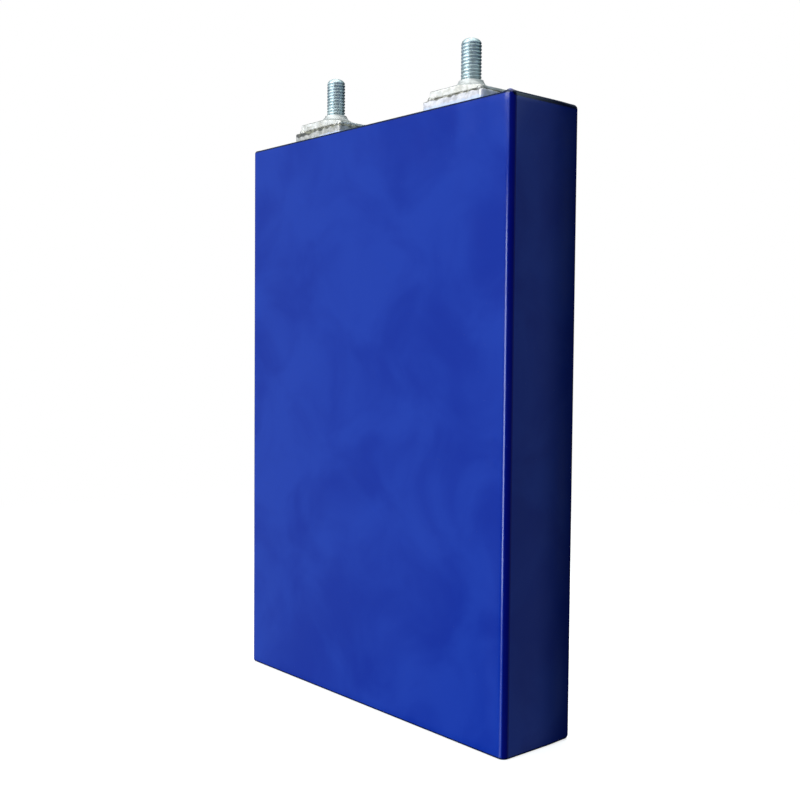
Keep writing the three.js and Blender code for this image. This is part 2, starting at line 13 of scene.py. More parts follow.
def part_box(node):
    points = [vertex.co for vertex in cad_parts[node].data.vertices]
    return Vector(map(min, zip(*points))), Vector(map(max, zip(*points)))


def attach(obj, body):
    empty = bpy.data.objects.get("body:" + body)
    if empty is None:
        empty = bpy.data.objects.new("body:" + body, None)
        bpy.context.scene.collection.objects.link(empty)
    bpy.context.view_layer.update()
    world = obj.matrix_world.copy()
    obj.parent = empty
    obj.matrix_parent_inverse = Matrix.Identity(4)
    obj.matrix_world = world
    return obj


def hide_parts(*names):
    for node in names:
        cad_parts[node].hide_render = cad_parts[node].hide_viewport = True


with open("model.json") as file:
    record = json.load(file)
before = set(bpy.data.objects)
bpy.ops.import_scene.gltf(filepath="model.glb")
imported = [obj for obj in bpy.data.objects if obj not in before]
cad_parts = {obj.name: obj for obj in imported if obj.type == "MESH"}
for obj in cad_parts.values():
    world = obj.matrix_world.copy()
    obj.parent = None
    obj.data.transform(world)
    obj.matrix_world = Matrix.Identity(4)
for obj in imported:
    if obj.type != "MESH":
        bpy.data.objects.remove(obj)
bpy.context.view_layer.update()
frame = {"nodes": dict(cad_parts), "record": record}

MM = 0.001
TURN = 2 * math.pi
POLARITIES = ("positive", "negative")

# Camera: where it stands, and which way it looks
CAMERA_PLACE = Vector((0.2606, -0.2233, 0.1107))
CAMERA_AZIMUTH = math.radians(49.21)
CAMERA_ELEVATION = math.radians(2.58)
CAMERA_ROLL = math.radians(0.48)
CAMERA_LENS = 48.555

# Shrink film: its turned edges, its upright corners and the lips over the top and the base
FILM_THICKNESS = 0.1 * MM
FILM_EDGE_RADIUS = 0.8 * MM
FILM_SOFT_EDGE_RADIUS = 1.3 * MM
FILM_CORNER_RADIUS = 2.2 * MM
FILM_LIP = 4.5 * MM
FILM_MOUTH_RADIUS = 5 * MM
FILM_SAG = 0.11 * MM
FILM_SIDE_BOW = 0.6 * MM
FILM_WAVE_SIZE = 38 * MM
FILM_RIPPLE_SIZE = 14 * MM
# Reach of the painted shade along the film's turned edges
FILM_EDGE_SHADE_START = 0.9 * MM
LIP_WRINKLE_SIZE = 1.8 * MM
LIP_WRINKLE_REACH = 9 * MM
LIP_LIFT_TOP = 0.7 * MM
LIP_LIFT_BOTTOM = 0.12 * MM
MOUTH_WAVINESS = 0.35 * MM

# Studs
THREAD_PITCH = 1 * MM
THREAD_DEPTH = 0.3 * MM
THREAD_CREST_SHARE = 0.3
THREAD_FLANK_SHARE = 0.65
STUD_RADIUS = 3 * MM
STUD_DOME_HEIGHT = 1.8 * MM
STUD_TIP_RADIUS = 0.9 * MM
STUD_HEAD_THICKNESS = 1.4 * MM
STUD_FACETS = 48
STUD_STEPS_PER_TURN = 14

# Stud bases
BASE_FOOT_INSET = 0.8 * MM
BASE_FOOT_HEIGHT = 0.55 * MM
BASE_THICKNESS = 2.4 * MM
BASE_SLOPE_START = 1 * MM
BASE_SLOPE_DROP = 1.5 * MM
BOSS_FLARE = 2.5 * MM
BOSS_CURVE = 0.7
BOSS_TOP_WALL = 0.55 * MM
BOSS_STEPS = 12

# Plates: the rounding of their edges, their upright corners, and how rough their skin is
INSULATOR_EDGE = 0.25 * MM
INSULATOR_CORNER = 1.0 * MM
BLOCK_EDGE = 0.35 * MM
BLOCK_CORNER = 0.9 * MM
BLOCK_ROUGHNESS = 0.07 * MM
BLOCK_GRAIN = 1.6 * MM
BASE_EDGE = 0.35 * MM
BASE_CORNER = 0.7 * MM
BASE_FOOT_CORNER = 0.6 * MM
BASE_ROUGHNESS = 0.09 * MM
BASE_GRAIN = 1.5 * MM

# Seat in a terminal block for the stud's head
SEAT_GAP = 0.3 * MM
SEAT_DEPTH = 1.25 * MM

# Weld seams
FOOT_WELD_RADIUS = 0.42 * MM
FOOT_WELD_HEIGHT = 0.32 * MM
FOOT_WELD_INSET = 0.35 * MM
FOOT_WELD_CORNER = 0.9 * MM
DROP_INSET = 0.6 * MM
CAP_WELD_RADIUS = 0.16 * MM
CAP_WELD_FACETS = 120

# Round holes, and the gap round what fits in them
ROUND_GAP = 0.1 * MM
FACE_GAP = 0.1 * MM
POLE_RADIUS = 3.5 * MM


# ---- Meshes --------------------------------------------------------------------------------------

def smooth(value, low=0.0, high=1.0):
    """Rises smoothly from 0 at low to 1 at high."""
    share = min(1.0, max(0.0, (value - low) / (high - low)))
    return share * share * (3 - 2 * share)


def grain(point, size, seed=0.0):
    """Soft random value between about -1 and 1 that changes over the given size."""
    return noise.noise(Vector(point) / size + Vector((seed, 2.3 * seed, 5.1 * seed)))


def loft(rings, joined=False):
    """Skin over rings of equal length. A joined loft also links the last ring to the first."""
    count = len(rings[0])
    vertices = [point for ring in rings for point in ring]
    spans = len(rings) if joined else len(rings) - 1
    faces = []
    for row in range(spans):
        here = row * count
        above = (row + 1) % len(rings) * count
        for i in range(count):
            j = (i + 1) % count
            faces.append((here + i, here + j, above + j, above + i))
    return vertices, faces


def capped(rings):
    """Skin over rings, closed by a flat face at each end."""
    vertices, faces = loft(rings)
    count = len(rings[0])
    last = len(vertices) - count
    faces.append(tuple(reversed(range(count))))
    faces.append(tuple(range(last, last + count)))
    return vertices, faces


def add_piece(name, shape, material, replaced=(), sharp_angle=40):
    """A smooth-shaded piece that rides on the cell, in place of the CAD nodes that it replaces."""
    vertices, faces = shape
    mesh = bpy.data.meshes.new(name)
    mesh.from_pydata([tuple(v) for v in vertices], [], faces)
    mesh.shade_smooth()
    mesh.set_sharp_from_angle(angle=math.radians(sharp_angle))
    mesh.materials.append(material)
    piece = bpy.data.objects.new(name, mesh)
    bpy.context.scene.collection.objects.link(piece)
    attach(piece, "root")
    if replaced:
        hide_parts(*replaced)
    return piece


class Outline:
    """A rounded rectangle round a centre, always walked in the same number of steps."""

    def __init__(self, half_x, half_y, steps_x, steps_y, corner_steps, centre=(0.0, 0.0), crowd=0.0):
        self.half_x = half_x
        self.half_y = half_y
        self.steps = (steps_x, steps_y)
        self.corner_steps = corner_steps
        self.centre = centre
        self.crowd = crowd

    def share(self, k, steps):
        """How far along a side its step k lies. Crowding draws the steps towards the corners."""
        even = k / steps
        return even * (1 - self.crowd) + self.crowd * (1 - math.cos(math.pi * even)) / 2

    def ring(self, inset, radius, height):
        """Points of the outline drawn in by inset, with the given corner radius."""
        x = self.half_x - inset - radius
        y = self.half_y - inset - radius
        corners = ((x, y), (-x, y), (-x, -y), (x, -y))
        arcs = []
        for quarter, (cx, cy) in enumerate(corners):
            arc = []
            for k in range(self.corner_steps + 1):
                angle = (quarter + k / self.corner_steps) * math.pi / 2
                arc.append(Vector((cx + radius * math.cos(angle), cy + radius * math.sin(angle), height)))
            arcs.append(arc)
        points = []
        for quarter, arc in enumerate(arcs):
            start = arc[-1]
            end = arcs[(quarter + 1) % 4][0]
            steps = self.steps[quarter % 2]
            points += arc
            points += [start.lerp(end, self.share(k, steps)) for k in range(1, steps)]
        offset = Vector((*self.centre, 0.0))
        return [point + offset for point in points]

    def circle(self, radius, height):
        """A circle with one point in line with each point of the outline."""
        points = []
        for point in self.ring(0.0, min(self.half_x, self.half_y) / 2, 0.0):
            angle = math.atan2(point.y - self.centre[1], point.x - self.centre[0])
            x = self.centre[0] + radius * math.cos(angle)
            y = self.centre[1] + radius * math.sin(angle)
            points.append(Vector((x, y, height)))
        return points


def between(first, second, steps):
    """Rings evenly spaced between two rings, leaving both out."""
    rings = []
    for k in range(1, steps):
        rings.append([a.lerp(b, k / steps) for a, b in zip(first, second)])
    return rings


def roughened(rings, depth, size, seed):
    """The rings with each point moved a little, as on a cast or sawn surface."""
    moved = []
    for ring in rings:
        moved.append([
            point + depth * Vector((
                grain(point, size, seed),
                grain(point, size, seed + 3.7),
                grain(point, size, seed + 7.9),
            ))
            for point in ring
        ])
    return moved


# ---- Shrink film ---------------------------------------------------------------------------------

film_low, film_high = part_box("wrap_film")
film_outline = Outline(
    film_high.x, film_high.y, steps_x=70, steps_y=18, corner_steps=12, crowd=0.6)

# Each upright corner: the sides of X and Y that it stands on, how softly its top and bottom are
# rounded (0 to 1), and how high the pleat at its top stands
FILM_CORNERS = (
    (1, 1, 1.0, 0.0),
    (-1, 1, 0.55, 0.3 * MM),
    (-1, -1, 0.1, 0.1 * MM),
    (1, -1, 0.0, 0.5 * MM),
)
SOFT_REACH = 7.5 * MM
PLEAT_WIDTH = 1.5 * MM
PLEAT_SHIFT = 0.6 * MM

# Small dents in the photographed wide face
FILM_DENT_REACH = 2.2 * MM
FILM_DENT_DEPTH = 0.07 * MM
FILM_DENTS = (
    (56.3 * MM, -14 * MM, 87.7 * MM),
    (56.8 * MM, -14 * MM, 81 * MM),
    (6.3 * MM, -14 * MM, 104 * MM),
    (11.1 * MM, -14 * MM, 135.7 * MM),
)


def corner_distances(point):
    """Distance in plan from a point to each upright corner's arc."""
    distances = []
    for side_x, side_y, _, _ in FILM_CORNERS:
        dx = max(0.0, film_high.x - FILM_CORNER_RADIUS - side_x * point.x)
        dy = max(0.0, film_high.y - FILM_CORNER_RADIUS - side_y * point.y)
        distances.append(math.hypot(dx, dy))
    return distances


def film_edge_radius(point):
    radius = FILM_EDGE_RADIUS
    for distance, (_, _, softness, _) in zip(corner_distances(point), FILM_CORNERS):
        nearness = 1 - smooth(distance / SOFT_REACH)
        radius += (FILM_SOFT_EDGE_RADIUS - FILM_EDGE_RADIUS) * softness * nearness
    return radius


def film_pleat(point):
    """Height of the pleat that the film makes where it is gathered over an upright corner."""
    height = 0.0
    for side_x, side_y, _, rise in FILM_CORNERS:
        tip_x = film_high.x - 0.3 * FILM_CORNER_RADIUS
        tip_y = film_high.y - 0.3 * FILM_CORNER_RADIUS
        across = (side_x * point.x - tip_x - side_y * point.y + tip_y) / math.sqrt(2) + PLEAT_SHIFT
        along = (side_x * point.x - tip_x + side_y * point.y - tip_y) / math.sqrt(2)
        height += rise * math.exp(-((across / PLEAT_WIDTH) ** 2) - (along / (2 * PLEAT_WIDTH)) ** 2)
    return height


def film_sag(point):
    """How far the film's wall lies inside its nominal face, in gentle waves."""
    waves = 0.5 + 0.9 * grain(point, FILM_WAVE_SIZE, 1.0) + 0.35 * grain(point, FILM_RIPPLE_SIZE, 4.0)
    return FILM_SAG * smooth(waves)


def film_lip(outer, mouth, share, top):
    """A point on a lip, which wrinkles near the upright corners and lifts at its free edge."""
    point = outer.lerp(mouth, share)
    distances = corner_distances(point)
    gathered = min(d for d, corner in zip(distances, FILM_CORNERS) if corner[2] < 1)
    near_corner = 1 - smooth(gathered, 1 * MM, LIP_WRINKLE_REACH)
    wrinkle = 0.5 + 0.5 * grain(outer, LIP_WRINKLE_SIZE, 2.0)
    lift = (0.03 + 0.3 * near_corner * wrinkle) * math.sin(math.pi * share) ** 2
    lift += 0.25 * share ** 3 * (0.4 + abs(grain(outer, 5 * MM, 6.0)))
    point.z += lift * (LIP_LIFT_TOP if top else LIP_LIFT_BOTTOM)
    return point


def film_shape():
    """Rings from the free edge of the bottom lip, out and up the walls, to that of the top lip."""
    lip_steps = 9
    edge_steps = 7
    wall_steps = 96
    kept_steps = 6
    outside = film_outline.ring(0.0, FILM_CORNER_RADIUS, 0.0)
    count = len(outside)
    edges = [film_edge_radius(point) for point in outside]
    mouth = film_outline.ring(FILM_LIP, FILM_MOUTH_RADIUS, 0.0)
    for i, point in enumerate(mouth):
        inwards = (mouth[(i + 1) % count] - mouth[i - 1]).cross(Vector((0, 0, -1))).normalized()
        point -= inwards * MOUTH_WAVINESS * (0.5 + grain(outside[i], 6 * MM, 9.0))

    plans = {}

    def film_plan(i, inset):
        """Point i of the outline drawn in by inset, which keeps its upright corners parallel."""
        key = round(inset / (0.001 * MM))
        if key not in plans:
            plans[key] = film_outline.ring(inset, FILM_CORNER_RADIUS - inset, 0.0)
        return plans[key][i]

    def turned_edge(turn, top):
        """The ring at a share of the quarter turn from the wall into a lip."""
        angle = turn * math.pi / 2
        ring = []
        for i in range(count):
            plan = film_plan(i, edges[i] * (1 - math.cos(angle)))
            rise = edges[i] * (1 - math.sin(angle))
            point = Vector((plan.x, plan.y, film_high.z - rise if top else rise))
            if top:
                point.z += film_pleat(outside[i]) * smooth(turn, 0.2, 1.0)
            ring.append(point)
        return ring

    bottom_edge = [turned_edge(k / edge_steps, False) for k in range(edge_steps, -1, -1)]
    top_edge = [turned_edge(k / edge_steps, True) for k in range(edge_steps + 1)]

    walls = []
    for k in range(1, wall_steps):
        share = k / wall_steps
        ring = []
        for i in range(count):
            point = bottom_edge[-1][i].lerp(top_edge[0][i], share)
            point.z = bottom_edge[-1][i].z + (top_edge[0][i].z - bottom_edge[-1][i].z) * share
            tangent = outside[(i + 1) % count] - outside[i - 1]
            inwards = Vector((-tangent.y, tangent.x, 0)).normalized()
            ends = smooth(min(share, 1 - share) * wall_steps / kept_steps)
            flat = smooth(min(corner_distances(outside[i])), 0.0, 6 * MM)
            point += inwards * film_sag(point) * ends * flat
            ring.append(point)
        walls.append(ring)

    def lip(edge, top):
        rings = []
        for k in range(1, lip_steps + 1):
            ring = []
            for i in range(count):
                target = Vector((mouth[i].x, mouth[i].y, film_high.z if top else 0.0))
                start = edge[i]
                ring.append(film_lip(start, target, k / lip_steps, top))
            rings.append(ring)
        return rings

    bottom_lip = list(reversed(lip(bottom_edge[0], False)))
    top_lip = lip(top_edge[-1], True)
    return loft(bottom_lip + bottom_edge + walls + top_edge + top_lip)


def shrink_film(material):
    film = add_piece("film_sleeve", film_shape(), material, ["wrap_film"], 60)
    wall = film.modifiers.new("wall", "SOLIDIFY")
    wall.thickness = FILM_THICKNESS
    wall.offset = -1
    return film


# ---- Terminals -----------------------------------------------------------------------------------

def terminal_centre(polarity):
    low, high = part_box(polarity + "_stud")
    return (low.x + high.x) / 2, (low.y + high.y) / 2


def plate_outline(polarity, node):
    low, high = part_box(f"{polarity}_{node}")
    half_x = (high.x - low.x) / 2
    half_y = (high.y - low.y) / 2
    outline = Outline(half_x, half_y, 44, 26, 6, terminal_centre(polarity), crowd=0.35)
    return outline, low.z, high.z


def edge_rings(outline, radius, corner, bottom, top, steps=4):
    """Rings up the side of a plate whose upper and lower edges are rounded."""
    rings = []
    for k in range(steps + 1):
        angle = (k / steps) * math.pi / 2
        inset = radius * (1 - math.sin(angle))
        rings.append(outline.ring(inset, corner - inset, bottom + radius * (1 - math.cos(angle))))
    rings += between(
        outline.ring(0.0, corner, bottom + radius), outline.ring(0.0, corner, top - radius), 6)
    for k in range(steps + 1):
        angle = (k / steps) * math.pi / 2
        inset = radius * (1 - math.cos(angle))
        rings.append(outline.ring(inset, corner - inset, top - radius * (1 - math.sin(angle))))
    return rings


def outer_insulator(polarity, material):
    outline, bottom, top = plate_outline(polarity, "outer_insulator")
    hole = POLE_RADIUS + ROUND_GAP
    side = edge_rings(outline, INSULATOR_EDGE, INSULATOR_CORNER, bottom, top)
    rings = [outline.circle(hole, top), outline.circle(hole, bottom)]
    rings += between(rings[-1], side[0], 6) + side + between(side[-1], rings[0], 6)
    add_piece(
        polarity + "_insulator_plate", loft(rings, joined=True), material,
        [polarity + "_outer_insulator"])


def terminal_block(polarity, seed):
    outline, bottom, top = plate_outline(polarity, "terminal_block")
    pole_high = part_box(polarity + "_pole")[1]
    head_low, head_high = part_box(polarity + "_stud")
    hole = POLE_RADIUS + ROUND_GAP
    seat = (head_high.x - head_low.x) / 2 + SEAT_GAP
    seat_floor = pole_high.z - SEAT_DEPTH
    side = edge_rings(outline, BLOCK_EDGE, BLOCK_CORNER, bottom, top)
    side = roughened(side, BLOCK_ROUGHNESS, BLOCK_GRAIN, seed)
    hollow = [
        outline.circle(seat, top),
        outline.circle(seat, seat_floor),
        outline.circle(hole, seat_floor),
        outline.circle(hole, bottom),
    ]
    rings = hollow + between(hollow[-1], side[0], 8) + side + between(side[-1], hollow[0], 8)
    add_piece(
        polarity + "_block", loft(rings, joined=True), block_material(polarity, top),
        [polarity + "_terminal_block"])


def stud_base(polarity, seed):
    outline, bottom, top = plate_outline(polarity, "stud_base")
    head_low, head_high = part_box(polarity + "_stud")
    plate_bottom = bottom + BASE_FOOT_HEIGHT
    plate_top = plate_bottom + BASE_THICKNESS
    slope_start = outline.centre[0] + BASE_SLOPE_START
    slope = BASE_SLOPE_DROP / (outline.half_x - BASE_SLOPE_START)
    bore = STUD_RADIUS + ROUND_GAP
    seat = (head_high.x - head_low.x) / 2 + ROUND_GAP
    seat_top = bottom + STUD_HEAD_THICKNESS + FACE_GAP
    boss_top_radius = bore + BOSS_TOP_WALL
    foot_bottom = outline.ring(BASE_FOOT_INSET, BASE_FOOT_CORNER, bottom)
    foot_top = outline.ring(BASE_FOOT_INSET, BASE_FOOT_CORNER, plate_bottom)
    side = edge_rings(outline, BASE_EDGE, BASE_CORNER, plate_bottom, plate_top)
    boss_height = top - plate_top
    boss_foot = outline.circle(boss_top_radius + BOSS_FLARE, plate_top)
    plate = between(foot_top, side[0], 3) + side + between(side[-1], boss_foot, 9) + [boss_foot]
    for ring in plate:
        for point in ring:
            ceiling = plate_top - slope * max(0.0, point.x - slope_start)
            share = (point.z - plate_bottom) / BASE_THICKNESS
            if share > 0:
                point.z = plate_bottom + share * (ceiling - plate_bottom)
    boss = []
    for k in range(1, BOSS_STEPS + 1):
        angle = (k / BOSS_STEPS) * math.pi / 2
        radius = boss_top_radius + BOSS_FLARE * (1 - math.sin(angle)) ** BOSS_CURVE
        boss.append(outline.circle(radius, top - boss_height * math.cos(angle)))
    boss.append(outline.circle(boss_top_radius - 0.12 * MM, top))
    outside = roughened(plate + boss, BASE_ROUGHNESS, BASE_GRAIN, seed)
    bore_top = outline.circle(bore, top - 0.05 * MM)
    hollow = [
        bore_top,
        outline.circle(bore, seat_top),
        outline.circle(seat, seat_top),
        outline.circle(seat, bottom),
    ]
    rings = [foot_bottom, foot_top] + outside + hollow
    add_piece(
        polarity + "_stud_plate", loft(rings, joined=True), base_material(plate_bottom, plate_top),
        [polarity + "_stud_base"])


def thread_radius(angle, height):
    """Radius of a right-handed thread, rounded by its plating, at a place on its side."""
    phase = (height / THREAD_PITCH - angle / TURN) % 1.0
    from_crest = abs(phase - 0.5) * 2
    depth = smooth(from_crest, THREAD_CREST_SHARE, THREAD_CREST_SHARE + THREAD_FLANK_SHARE)
    return STUD_RADIUS - THREAD_DEPTH * depth


def stud(polarity, material):
    low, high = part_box(polarity + "_stud")
    base_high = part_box(polarity + "_stud_base")[1]
    centre_x, centre_y = terminal_centre(polarity)
    head_radius = (high.x - low.x) / 2
    head_top = low.z + STUD_HEAD_THICKNESS
    thread_bottom = base_high.z - 1.0 * MM

    def ring(height, radius_at):
        points = []
        for i in range(STUD_FACETS):
            angle = TURN * i / STUD_FACETS
            radius = radius_at(angle, height)
            x = centre_x + radius * math.cos(angle)
            y = centre_y + radius * math.sin(angle)
            points.append(Vector((x, y, height)))
        return points

    def plain(radius):
        return lambda angle, height: radius

    def threaded(angle, height):
        started = smooth(height, thread_bottom, thread_bottom + 0.4 * MM)
        radius = STUD_RADIUS + (thread_radius(angle, height) - STUD_RADIUS) * started
        climb = min(1.0, max(0.0, 1 - (high.z - height) / STUD_DOME_HEIGHT))
        dome = STUD_TIP_RADIUS + (STUD_RADIUS - STUD_TIP_RADIUS) * math.sqrt(1 - climb ** 2)
        return min(radius, dome)

    rings = [
        ring(low.z, plain(head_radius)),
        ring(head_top, plain(head_radius)),
        ring(head_top, plain(STUD_RADIUS)),
    ]
    count = int((high.z - thread_bottom) / THREAD_PITCH * STUD_STEPS_PER_TURN)
    for k in range(count):
        rings.append(ring(thread_bottom + k * THREAD_PITCH / STUD_STEPS_PER_TURN, threaded))
    rings.append(ring(high.z, plain(STUD_TIP_RADIUS)))
    add_piece(
        polarity + "_threaded_stud", capped(rings), material,
        [polarity + "_stud"], sharp_angle=75)


def weld_bead(name, path, radius, seed, material, lumps=0.4, drops=()):
    """A closed bead of weld metal along a path, thick and thin by turns, swollen near each drop."""
    sides = 10
    count = len(path)
    rings = []
    for i, point in enumerate(path):
        tangent = (path[(i + 1) % count] - path[i - 1]).normalized()
        outwards = tangent.cross(Vector((0, 0, 1))).normalized()
        swell = 1 + lumps * grain(point, 1.1 * MM, seed) + 0.5 * lumps * grain(point, 3.1 * MM, seed + 1)
        for drop in drops:
            swell += 2.0 * math.exp(-((point - Vector(drop)).length / (0.8 * MM)) ** 2)
        shift = 0.45 * radius * grain(point, 2.2 * MM, seed + 2)
        centre = point + outwards * shift
        ring = []
        for k in range(sides):
            angle = -TURN * k / sides
            across = radius * swell * math.cos(angle)
            rise = radius * swell * math.sin(angle)
            ring.append(centre + outwards * across + Vector((0, 0, rise)))
        rings.append(ring)
    return add_piece(name, loft(rings, joined=True), material)


def foot_weld(polarity, seed):
    """The seam round the foot of a stud base, in the groove over the block."""
    low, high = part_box(polarity + "_stud_base")
    half_x = (high.x - low.x) / 2
    half_y = (high.y - low.y) / 2
    outline = Outline(half_x, half_y, 110, 70, 8, terminal_centre(polarity))
    height = low.z + FOOT_WELD_HEIGHT
    path = outline.ring(FOOT_WELD_INSET, FOOT_WELD_CORNER, height)
    drops = []
    for side_x, side_y in ((-1, -1), (1, -1), (1, 1), (-1, 1)):
        reach_x = side_x * (half_x - DROP_INSET)
        reach_y = side_y * (half_y - DROP_INSET)
        drops.append((outline.centre[0] + reach_x, outline.centre[1] + reach_y, height))
    material = weld_material(polarity, drops)
    weld_bead(polarity + "_foot_weld", path, FOOT_WELD_RADIUS, seed, material, drops=drops)


def fill_cap_weld():
    """The laser seam round the filling port's cap."""
    low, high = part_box("fill_cap")
    centre = (low + high) / 2
    radius = (high.x - low.x) / 2 + 0.02 * MM
    path = []
    for k in range(CAP_WELD_FACETS):
        angle = TURN * k / CAP_WELD_FACETS
        x = centre.x + radius * math.cos(angle)
        y = centre.y + radius * math.sin(angle)
        path.append(Vector((x, y, high.z - 0.03 * MM)))
    weld_bead("fill_cap_weld", path, CAP_WELD_RADIUS, 11.0, weld_material("fill_cap"), lumps=0.25)


# ---- Materials -----------------------------------------------------------------------------------

class Surface:
    """A material round one principled shader, with short names for the nodes that it uses."""

    def __init__(self, name, roughness, metallic=0.0, **sockets):
        self.material = bpy.data.materials.new(name)
        self.material.use_nodes = True
        self.tree = self.material.node_tree
        self.tree.nodes.clear()
        output = self.add("ShaderNodeOutputMaterial")
        self.shader = self.add("ShaderNodeBsdfPrincipled")
        self.link(self.shader.outputs["BSDF"], output.inputs["Surface"])
        self.shader.inputs["Roughness"].default_value = roughness
        self.shader.inputs["Metallic"].default_value = metallic
        for socket, value in sockets.items():
            self.shader.inputs[socket.replace("_", " ")].default_value = value
        self.place = self.add("ShaderNodeTexCoord").outputs["Object"]

    def add(self, kind, **settings):
        node = self.tree.nodes.new(kind)
        for key, value in settings.items():
            setattr(node, key, value)
        return node

    def link(self, source, target):
        self.tree.links.new(source, target)

    def stretched(self, x, y, z):
        """The place on the object, with each axis multiplied."""
        node = self.add("ShaderNodeVectorMath", operation="MULTIPLY")
        self.link(self.place, node.inputs[0])
        node.inputs[1].default_value = (x, y, z)
        return node.outputs[0]

    def noise(self, size, detail=3.0, distortion=0.0, place=None):
        """Noise whose features are about as large as size."""
        node = self.add("ShaderNodeTexNoise")
        self.link(place or self.place, node.inputs["Vector"])
        node.inputs["Scale"].default_value = 1 / size
        node.inputs["Detail"].default_value = detail
        node.inputs["Distortion"].default_value = distortion
        return node.outputs["Fac"]

    def cells(self, size, place=None):
        """Distance to the nearest of some scattered points, about size apart."""
        node = self.add("ShaderNodeTexVoronoi")
        self.link(place or self.place, node.inputs["Vector"])
        node.inputs["Scale"].default_value = 1 / size
        return node.outputs["Distance"]

    def axis(self, letter):
        node = self.add("ShaderNodeSeparateXYZ")
        self.link(self.place, node.inputs[0])
        return node.outputs[letter]

    def near(self, spot, reach):
        """1 at a spot, falling smoothly to 0 at the given distance from it."""
        node = self.add("ShaderNodeVectorMath", operation="DISTANCE")
        self.link(self.place, node.inputs[0])
        node.inputs[1].default_value = spot
        return self.spread(node.outputs["Value"], 0.0, reach, 1.0, 0.0)

    def spread(self, value, low, high, new_low=0.0, new_high=1.0):
        """A smooth ramp from new_low where the value is low to new_high where it is high."""
        node = self.add("ShaderNodeMapRange", interpolation_type="SMOOTHSTEP")
        self.link(value, node.inputs["Value"])
        node.inputs["From Min"].default_value = low
        node.inputs["From Max"].default_value = high
        node.inputs["To Min"].default_value = new_low
        node.inputs["To Max"].default_value = new_high
        return node.outputs["Result"]

    def math(self, operation, first, second):
        node = self.add("ShaderNodeMath", operation=operation)
        for socket, value in zip(node.inputs, (first, second)):
            if isinstance(value, (int, float)):
                socket.default_value = value
            else:
                self.link(value, socket)
        return node.outputs[0]

    def mix(self, factor, first, second):
        """A colour between first and second, each a socket or red, green and blue."""
        node = self.add("ShaderNodeMix", data_type="RGBA")
        self.link(factor, node.inputs[0])
        for socket, value in zip((node.inputs[6], node.inputs[7]), (first, second)):
            if isinstance(value, tuple):
                socket.default_value = (*value, 1.0)
            else:
                self.link(value, socket)
        return node.outputs[2]

    def bump(self, height, depth, strength=1.0, normal=None):
        node = self.add("ShaderNodeBump")
        node.inputs["Strength"].default_value = strength
        node.inputs["Distance"].default_value = depth
        self.link(height, node.inputs["Height"])
        if normal:
            self.link(normal, node.inputs["Normal"])
        return node.outputs["Normal"]

    def finish(self, color=None, roughness=None, normal=None):
        for socket, value in (("Base Color", color), ("Roughness", roughness), ("Normal", normal)):
            if value:
                self.link(value, self.shader.inputs[socket])
        return self.material


